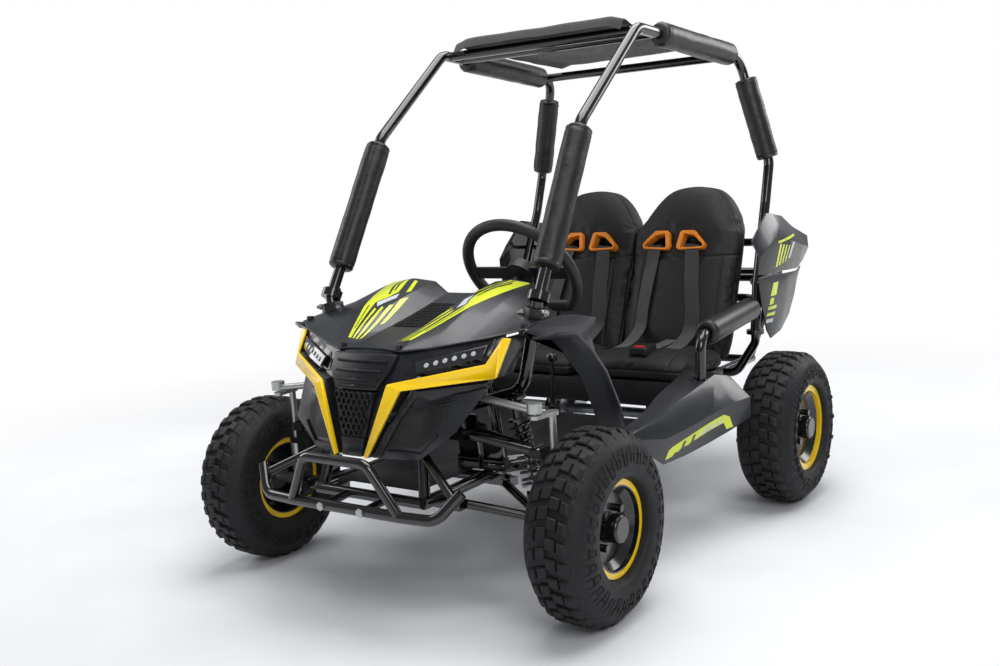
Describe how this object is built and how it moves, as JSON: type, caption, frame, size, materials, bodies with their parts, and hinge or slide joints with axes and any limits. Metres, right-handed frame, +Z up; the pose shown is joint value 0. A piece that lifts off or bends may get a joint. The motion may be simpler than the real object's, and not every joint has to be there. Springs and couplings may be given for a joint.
{
  "type": "off road go kart",
  "caption": "Two-seat off-road go-kart with tubular roll cage, fabric roof, knobbly tyres, double-wishbone front suspension and rack steering.",
  "frame": {"origin": "on the ground, midway between the furthest points in X and Y", "axes": "+Z up, the nose faces -Y, +X is the kart's own left side; Y is the longest way and X the shortest"},
  "size_m": [1.212, 1.737, 1.3028],
  "materials": {
    "frame_black": "gloss black powder coat",
    "body_grey": "moulded plastic, dark grey, satin gloss",
    "trim_black": "moulded plastic, matt black",
    "accent_yellow": "moulded plastic, yellow",
    "lens": "clear lens over LED rows",
    "foam": "vinyl covered foam pads",
    "canopy": "black woven roof cover",
    "seat_cover": "black seat cover",
    "webbing": "black woven belt webbing",
    "orange": "orange trim rings",
    "red": "red push buttons and knob",
    "tyre": "knobbly tyre rubber",
    "rim_black": "black wheel with a yellow edge",
    "steel": "bright steel",
    "zinc": "cast alloy",
    "spring": "black coil springs",
    "engine_alloy": "cast alloy engine",
    "tank": "black fuel tank",
    "grip": "moulded grip"
  },
  "bodies": {
    "chassis": {"main_frame": "frame_black", "floor_pan": "trim_black", "front_bumper": "frame_black", "cage_front_hoop": "frame_black", "cage_rear_hoop": "frame_black", "foam_pads": "foam", "roof_canopy": "canopy", "hood": "body_grey", "nose_cowl": "trim_black", "grille_shield": "trim_black", "grille_mesh": "trim_black", "grille_blades": "accent_yellow", "headlight_lenses": "lens", "front_fenders": "body_grey", "collars_and_bolts": "steel", "side_panels": "body_grey", "side_bolsters": "foam", "rear_panels": "body_grey", "seat_base": "trim_black", "seat_cushions": "seat_cover", "belt_hole_rims": "orange", "seat_belts": "webbing", "buckle_bodies": "trim_black", "brake_caliper": "zinc", "drive_chain": "steel", "engine": "engine_alloy", "muffler": "frame_black", "fuel_tank": "tank"},
    "button_left": {"buckle_button_left": "red"},
    "button_right": {"buckle_button_right": "red"},
    "steering": {"steering_wheel": "grip", "steering_column": "steel"},
    "rack": {"steering_rack": "steel"},
    "rear_axle": {"rear_axle": "steel", "rear_wheels": "rim_black", "rear_tyres": "tyre"},
    "drive_sprocket": {"drive_sprocket": "steel"},
    "brake_pedal": {"brake_pedal": "steel"},
    "throttle_pedal": {"throttle_pedal": "steel"},
    "gear_lever": {"gear_lever": "red"},
    "lower_left": {"lower_arm_left": "frame_black"},
    "upper_left": {"upper_arm_left": "frame_black"},
    "carrier_left": {"carrier_left": "frame_black"},
    "knuckle_left": {"knuckle_left": "steel"},
    "wheel_left": {"front_tyre_left": "tyre", "front_wheel_left": "rim_black"},
    "tie_left": {"tie_rod_left": "zinc"},
    "shock_body_left": {"shock_body_left": "frame_black", "shock_spring_left": "spring"},
    "shock_rod_left": {"shock_rod_left": "steel"},
    "lower_right": {"lower_arm_right": "frame_black"},
    "upper_right": {"upper_arm_right": "frame_black"},
    "carrier_right": {"carrier_right": "frame_black"},
    "knuckle_right": {"knuckle_right": "steel"},
    "wheel_right": {"front_tyre_right": "tyre", "front_wheel_right": "rim_black"},
    "tie_right": {"tie_rod_right": "zinc"},
    "shock_body_right": {"shock_body_right": "frame_black", "shock_spring_right": "spring"},
    "shock_rod_right": {"shock_rod_right": "steel"}
  },
  "joints": [
    {"name": "steering", "type": "hinge", "parent": "chassis", "child": "steering", "pos_m": [0.12, -0.2995, 0.69], "axis": [0, 0.8241, 0.5664], "range_deg": [-90, 90]},
    {"name": "rack_slide", "type": "slide", "parent": "chassis", "child": "rack", "axis": [1, 0, 0], "range_m": [-0.024, 0.024]},
    {"name": "rear_axle_spin", "type": "hinge", "parent": "chassis", "child": "rear_axle", "pos_m": [0, 0.3405, 0.203], "axis": [1, 0, 0], "continuous": true},
    {"name": "drive_sprocket_spin", "type": "hinge", "parent": "chassis", "child": "drive_sprocket", "pos_m": [0.15, 0.5205, 0.306], "axis": [1, 0, 0], "continuous": true},
    {"name": "throttle_push", "type": "hinge", "parent": "chassis", "child": "throttle_pedal", "pos_m": [0.1, -0.5195, 0.287], "axis": [1, 0, 0], "range_deg": [0, 20], "stiffness_Nm_per_rad": 5, "springref_deg": -11.46},
    {"name": "brake_push", "type": "hinge", "parent": "chassis", "child": "brake_pedal", "pos_m": [0.168, -0.5195, 0.287], "axis": [1, 0, 0], "range_deg": [0, 18], "stiffness_Nm_per_rad": 8, "springref_deg": -11.46},
    {"name": "gear_select", "type": "hinge", "parent": "chassis", "child": "gear_lever", "pos_m": [0, 0.0005, 0.287], "axis": [1, 0, 0], "range_deg": [-15, 15]},
    {"name": "button_push_left", "type": "slide", "parent": "chassis", "child": "button_left", "axis": [0, 0, -1], "range_m": [0, 0.003], "stiffness_N_per_m": 800, "springref_m": -0.001},
    {"name": "button_push_right", "type": "slide", "parent": "chassis", "child": "button_right", "axis": [0, 0, -1], "range_m": [0, 0.003], "stiffness_N_per_m": 800, "springref_m": -0.001},
    {"name": "suspension_left", "type": "hinge", "parent": "chassis", "child": "lower_left", "pos_m": [0.182, -0.5995, 0.24], "axis": [0, -1, 0], "range_deg": [-12, 14], "stiffness_Nm_per_rad": 400, "springref_deg": -8.59},
    {"name": "upper_arm_pivot_left", "type": "hinge", "parent": "chassis", "child": "upper_left", "pos_m": [0.182, -0.5995, 0.385], "axis": [0, -1, 0], "range_deg": [-13, 15]},
    {"name": "carrier_pivot_left", "type": "hinge", "parent": "lower_left", "child": "carrier_left", "pos_m": [0.338, -0.5995, 0.2], "axis": [0, -1, 0], "range_deg": [-15, 13]},
    {"name": "kingpin_left", "type": "hinge", "parent": "carrier_left", "child": "knuckle_left", "pos_m": [0.378, -0.5995, 0.203], "axis": [0, 0, 1], "range_deg": [-26, 26]},
    {"name": "wheel_spin_left", "type": "hinge", "parent": "knuckle_left", "child": "wheel_left", "pos_m": [0.472, -0.5995, 0.203], "axis": [1, 0, 0], "continuous": true},
    {"name": "tie_rod_pivot_left", "type": "hinge", "parent": "rack", "child": "tie_left", "pos_m": [0.178, -0.6455, 0.47], "axis": [0, -1, 0], "range_deg": [-12, 14]},
    {"name": "shock_pivot_left", "type": "hinge", "parent": "chassis", "child": "shock_body_left", "pos_m": [0.262, -0.5625, 0.446], "axis": [0, -1, 0], "range_deg": [-3, 3]},
    {"name": "shock_slide_left", "type": "slide", "parent": "shock_body_left", "child": "shock_rod_left", "axis": [-0.1789, 0, 0.9839], "range_m": [-0.028, 0.032], "deforming": ["shock_spring_left"]},
    {"name": "suspension_right", "type": "hinge", "parent": "chassis", "child": "lower_right", "pos_m": [-0.182, -0.5995, 0.24], "axis": [0, 1, 0], "range_deg": [-12, 14], "stiffness_Nm_per_rad": 400, "springref_deg": -8.59},
    {"name": "upper_arm_pivot_right", "type": "hinge", "parent": "chassis", "child": "upper_right", "pos_m": [-0.182, -0.5995, 0.385], "axis": [0, 1, 0], "range_deg": [-13, 15]},
    {"name": "carrier_pivot_right", "type": "hinge", "parent": "lower_right", "child": "carrier_right", "pos_m": [-0.338, -0.5995, 0.2], "axis": [0, 1, 0], "range_deg": [-15, 13]},
    {"name": "kingpin_right", "type": "hinge", "parent": "carrier_right", "child": "knuckle_right", "pos_m": [-0.378, -0.5995, 0.203], "axis": [0, 0, 1], "range_deg": [-26, 26]},
    {"name": "wheel_spin_right", "type": "hinge", "parent": "knuckle_right", "child": "wheel_right", "pos_m": [-0.472, -0.5995, 0.203], "axis": [1, 0, 0], "continuous": true},
    {"name": "tie_rod_pivot_right", "type": "hinge", "parent": "rack", "child": "tie_right", "pos_m": [-0.178, -0.6455, 0.47], "axis": [0, 1, 0], "range_deg": [-12, 14]},
    {"name": "shock_pivot_right", "type": "hinge", "parent": "chassis", "child": "shock_body_right", "pos_m": [-0.262, -0.5625, 0.446], "axis": [0, 1, 0], "range_deg": [-3, 3]},
    {"name": "shock_slide_right", "type": "slide", "parent": "shock_body_right", "child": "shock_rod_right", "axis": [0.1789, 0, 0.9839], "range_m": [-0.028, 0.032], "deforming": ["shock_spring_right"]}
  ],
  "couplings": [
    {"joint": "rack_slide", "follows": "steering", "m_per_rad": 0.0142},
    {"joint": "drive_sprocket_spin", "follows": "rear_axle_spin", "ratio": 2.8667},
    {"joint": "upper_arm_pivot_left", "follows": "suspension_left", "ratio": 1},
    {"joint": "carrier_pivot_left", "follows": "suspension_left", "ratio": -1},
    {"joint": "tie_rod_pivot_left", "follows": "suspension_left", "ratio": 0.8},
    {"joint": "shock_pivot_left", "follows": "suspension_left", "ratio": 0.1134},
    {"joint": "shock_slide_left", "follows": "suspension_left", "m_per_rad": 0.1156},
    {"joint": "kingpin_left", "follows": "steering", "ratio": 0.28},
    {"joint": "upper_arm_pivot_right", "follows": "suspension_right", "ratio": 1},
    {"joint": "carrier_pivot_right", "follows": "suspension_right", "ratio": -1},
    {"joint": "tie_rod_pivot_right", "follows": "suspension_right", "ratio": 0.8},
    {"joint": "shock_pivot_right", "follows": "suspension_right", "ratio": 0.1134},
    {"joint": "shock_slide_right", "follows": "suspension_right", "m_per_rad": 0.1156},
    {"joint": "kingpin_right", "follows": "steering", "ratio": 0.28}
  ]
}
